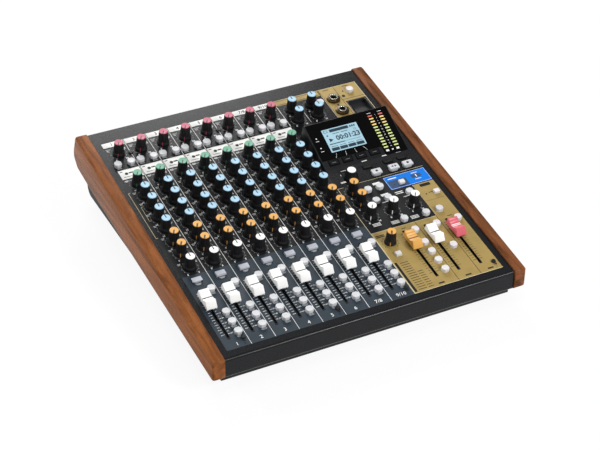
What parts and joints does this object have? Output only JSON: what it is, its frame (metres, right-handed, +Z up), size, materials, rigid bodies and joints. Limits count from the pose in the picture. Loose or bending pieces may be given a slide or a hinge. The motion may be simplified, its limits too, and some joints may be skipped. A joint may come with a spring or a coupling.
{
  "type": "recording mixer",
  "caption": "Desktop audio mixer: a sloping metal panel of knobs, keys and sliding faders between wooden cheeks, with a raised display housing and sockets behind.",
  "frame": {"origin": "on the table, under the middle of the whole mixer", "axes": "+X to the right, +Y to the rear and up the slope of the panel, +Z up"},
  "size_m": [0.343, 0.361, 0.0962],
  "materials": {
    "panel_paint": "satin",
    "case_paint": "satin",
    "wood": "oiled",
    "foot_rubber": "matt",
    "black_steel": "satin",
    "bezel_plastic": "matt",
    "window_gloss": "gloss",
    "lcd_glass": "gloss",
    "lens": "gloss",
    "board": "satin",
    "bare_metal": "satin",
    "knob_plastic": "matt",
    "key_plastic": "matt",
    "cap_white": "satin",
    "cap_orange": "satin",
    "cap_red": "satin",
    "socket_plastic": "satin",
    "plated": "polished"
  },
  "bodies": {
    "mixer": {"top_panel": "panel_paint", "bottom_case": "case_paint", "rear_panel": "case_paint", "wood_cheek_left": "wood", "wood_cheek_right": "wood", "rubber_feet": "foot_rubber", "screws": "black_steel", "display_bezel": "bezel_plastic", "display_window": "window_gloss", "lcd_module": "lcd_glass", "led_lenses": "lens", "circuit_boards": "board", "card_slot": "socket_plastic", "data_socket": "plated", "power_inlet": "socket_plastic", "power_switch_frame": "socket_plastic", "pot_bodies": "bare_metal", "channel_knobs": "knob_plastic", "master_knobs": "knob_plastic", "fader_bodies": "bare_metal", "switch_bodies": "socket_plastic", "channel_keys": "key_plastic", "master_keys": "key_plastic", "phones_jacks": "socket_plastic", "line_jacks": "socket_plastic", "input_sockets": "socket_plastic", "output_sockets": "socket_plastic"},
    "ch1_trim_knob": {"ch1_trim_knob": "knob_plastic"},
    "ch1_comp_knob": {"ch1_comp_knob": "knob_plastic"},
    "ch1_eq_1_knob": {"ch1_eq_1_knob": "knob_plastic"},
    "ch1_eq_2_knob": {"ch1_eq_2_knob": "knob_plastic"},
    "ch1_eq_3_knob": {"ch1_eq_3_knob": "knob_plastic"},
    "ch1_eq_4_knob": {"ch1_eq_4_knob": "knob_plastic"},
    "ch1_aux_1_knob": {"ch1_aux_1_knob": "knob_plastic"},
    "ch1_aux_2_knob": {"ch1_aux_2_knob": "knob_plastic"},
    "ch1_pan_knob": {"ch1_pan_knob": "knob_plastic"},
    "jog_dial": {"jog_dial": "knob_plastic"},
    "effect_level_knob": {"effect_level_knob": "knob_plastic"},
    "fader_1": {"fader_1": "cap_white"},
    "fader_2": {"fader_2": "cap_white"},
    "fader_3": {"fader_3": "cap_white"},
    "fader_4": {"fader_4": "cap_white"},
    "fader_5": {"fader_5": "cap_white"},
    "fader_6": {"fader_6": "cap_white"},
    "fader_7": {"fader_7": "cap_white"},
    "fader_8": {"fader_8": "cap_white"},
    "fader_effect": {"fader_effect": "cap_orange"},
    "fader_sub": {"fader_sub": "cap_white"},
    "fader_main": {"fader_main": "cap_red"},
    "ch1_pad_key": {"ch1_pad_key": "key_plastic"},
    "ch1_filter_key": {"ch1_filter_key": "key_plastic"},
    "ch1_mute_key": {"ch1_mute_key": "key_plastic"},
    "ch1_assign_1_key": {"ch1_assign_1_key": "key_plastic"},
    "ch1_assign_2_key": {"ch1_assign_2_key": "key_plastic"},
    "ch1_assign_3_key": {"ch1_assign_3_key": "key_plastic"},
    "ch1_assign_4_key": {"ch1_assign_4_key": "key_plastic"},
    "play_key": {"play_key": "key_plastic"},
    "rewind_key": {"rewind_key": "key_plastic"},
    "forward_key": {"forward_key": "key_plastic"},
    "power_rocker": {"power_rocker": "socket_plastic"}
  },
  "joints": [
    {"name": "ch1_trim_knob_turn", "type": "hinge", "parent": "mixer", "child": "ch1_trim_knob", "pos_m": [-0.13838, 0.13059, 0.08072], "axis": [0, -0.1305, 0.9914], "range_deg": [-300, 0]},
    {"name": "ch1_comp_knob_turn", "type": "hinge", "parent": "mixer", "child": "ch1_comp_knob", "pos_m": [-0.13838, 0.08002, 0.07407], "axis": [0, -0.1305, 0.9914], "range_deg": [-300, 0]},
    {"name": "ch1_eq_1_knob_turn", "type": "hinge", "parent": "mixer", "child": "ch1_eq_1_knob", "pos_m": [-0.13838, 0.0597, 0.07139], "axis": [0, -0.1305, 0.9914], "range_deg": [-150, 150]},
    {"name": "ch1_eq_2_knob_turn", "type": "hinge", "parent": "mixer", "child": "ch1_eq_2_knob", "pos_m": [-0.13838, 0.04185, 0.06904], "axis": [0, -0.1305, 0.9914], "range_deg": [-150, 150]},
    {"name": "ch1_eq_3_knob_turn", "type": "hinge", "parent": "mixer", "child": "ch1_eq_3_knob", "pos_m": [-0.13838, 0.02401, 0.06669], "axis": [0, -0.1305, 0.9914], "range_deg": [-150, 150]},
    {"name": "ch1_eq_4_knob_turn", "type": "hinge", "parent": "mixer", "child": "ch1_eq_4_knob", "pos_m": [-0.13838, 0.00616, 0.06434], "axis": [0, -0.1305, 0.9914], "range_deg": [-150, 150]},
    {"name": "ch1_aux_1_knob_turn", "type": "hinge", "parent": "mixer", "child": "ch1_aux_1_knob", "pos_m": [-0.13838, -0.01367, 0.06173], "axis": [0, -0.1305, 0.9914], "range_deg": [-300, 0]},
    {"name": "ch1_aux_2_knob_turn", "type": "hinge", "parent": "mixer", "child": "ch1_aux_2_knob", "pos_m": [-0.13838, -0.03171, 0.05936], "axis": [0, -0.1305, 0.9914], "range_deg": [-300, 0]},
    {"name": "ch1_pan_knob_turn", "type": "hinge", "parent": "mixer", "child": "ch1_pan_knob", "pos_m": [-0.13838, -0.05332, 0.05651], "axis": [0, -0.1305, 0.9914], "range_deg": [-150, 150]},
    {"name": "jog_dial_turn", "type": "hinge", "parent": "mixer", "child": "jog_dial", "pos_m": [0.07252, 0.00894, 0.06471], "axis": [0, -0.1305, 0.9914], "continuous": true},
    {"name": "effect_level_knob_turn", "type": "hinge", "parent": "mixer", "child": "effect_level_knob", "pos_m": [0.0629, -0.09497, 0.05103], "axis": [0, -0.1305, 0.9914], "range_deg": [-300, 0]},
    {"name": "fader_1_slide", "type": "slide", "parent": "mixer", "child": "fader_1", "axis": [0, 0.9914, 0.1305], "range_m": [-0.0448, 0.0152]},
    {"name": "fader_2_slide", "type": "slide", "parent": "mixer", "child": "fader_2", "axis": [0, 0.9914, 0.1305], "range_m": [-0.0448, 0.0152]},
    {"name": "fader_3_slide", "type": "slide", "parent": "mixer", "child": "fader_3", "axis": [0, 0.9914, 0.1305], "range_m": [-0.0448, 0.0152]},
    {"name": "fader_4_slide", "type": "slide", "parent": "mixer", "child": "fader_4", "axis": [0, 0.9914, 0.1305], "range_m": [-0.0448, 0.0152]},
    {"name": "fader_5_slide", "type": "slide", "parent": "mixer", "child": "fader_5", "axis": [0, 0.9914, 0.1305], "range_m": [-0.0448, 0.0152]},
    {"name": "fader_6_slide", "type": "slide", "parent": "mixer", "child": "fader_6", "axis": [0, 0.9914, 0.1305], "range_m": [-0.0448, 0.0152]},
    {"name": "fader_7_slide", "type": "slide", "parent": "mixer", "child": "fader_7", "axis": [0, 0.9914, 0.1305], "range_m": [-0.0448, 0.0152]},
    {"name": "fader_8_slide", "type": "slide", "parent": "mixer", "child": "fader_8", "axis": [0, 0.9914, 0.1305], "range_m": [-0.0448, 0.0152]},
    {"name": "fader_effect_slide", "type": "slide", "parent": "mixer", "child": "fader_effect", "axis": [0, 0.9914, 0.1305], "range_m": [-0.0448, 0.0152]},
    {"name": "fader_sub_slide", "type": "slide", "parent": "mixer", "child": "fader_sub", "axis": [0, 0.9914, 0.1305], "range_m": [-0.0448, 0.0152]},
    {"name": "fader_main_slide", "type": "slide", "parent": "mixer", "child": "fader_main", "axis": [0, 0.9914, 0.1305], "range_m": [-0.0448, 0.0152]},
    {"name": "ch1_pad_key_press", "type": "slide", "parent": "mixer", "child": "ch1_pad_key", "axis": [0, 0.1305, -0.9914], "range_m": [0, 0.0018], "stiffness_N_per_m": 300, "springref_m": -0.001},
    {"name": "ch1_filter_key_press", "type": "slide", "parent": "mixer", "child": "ch1_filter_key", "axis": [0, 0.1305, -0.9914], "range_m": [0, 0.0018], "stiffness_N_per_m": 300, "springref_m": -0.001},
    {"name": "ch1_mute_key_press", "type": "slide", "parent": "mixer", "child": "ch1_mute_key", "axis": [0, 0.1305, -0.9914], "range_m": [0, 0.0018], "stiffness_N_per_m": 300, "springref_m": -0.001},
    {"name": "ch1_assign_1_key_press", "type": "slide", "parent": "mixer", "child": "ch1_assign_1_key", "axis": [0, 0.1305, -0.9914], "range_m": [0, 0.0018], "stiffness_N_per_m": 300, "springref_m": -0.001},
    {"name": "ch1_assign_2_key_press", "type": "slide", "parent": "mixer", "child": "ch1_assign_2_key", "axis": [0, 0.1305, -0.9914], "range_m": [0, 0.0018], "stiffness_N_per_m": 300, "springref_m": -0.001},
    {"name": "ch1_assign_3_key_press", "type": "slide", "parent": "mixer", "child": "ch1_assign_3_key", "axis": [0, 0.1305, -0.9914], "range_m": [0, 0.0018], "stiffness_N_per_m": 300, "springref_m": -0.001},
    {"name": "ch1_assign_4_key_press", "type": "slide", "parent": "mixer", "child": "ch1_assign_4_key", "axis": [0, 0.1305, -0.9914], "range_m": [0, 0.0018], "stiffness_N_per_m": 300, "springref_m": -0.001},
    {"name": "play_key_press", "type": "slide", "parent": "mixer", "child": "play_key", "axis": [0, 0.1305, -0.9914], "range_m": [0, 0.0018], "stiffness_N_per_m": 300, "springref_m": -0.001},
    {"name": "rewind_key_press", "type": "slide", "parent": "mixer", "child": "rewind_key", "axis": [0, 0.1305, -0.9914], "range_m": [0, 0.0018], "stiffness_N_per_m": 300, "springref_m": -0.001},
    {"name": "forward_key_press", "type": "slide", "parent": "mixer", "child": "forward_key", "axis": [0, 0.1305, -0.9914], "range_m": [0, 0.0018], "stiffness_N_per_m": 300, "springref_m": -0.001},
    {"name": "power_rocker_tip", "type": "hinge", "parent": "mixer", "child": "power_rocker", "pos_m": [0.13838, 0.17508, 0.04926], "axis": [-1, 0, 0], "range_deg": [0, 18]}
  ]
}
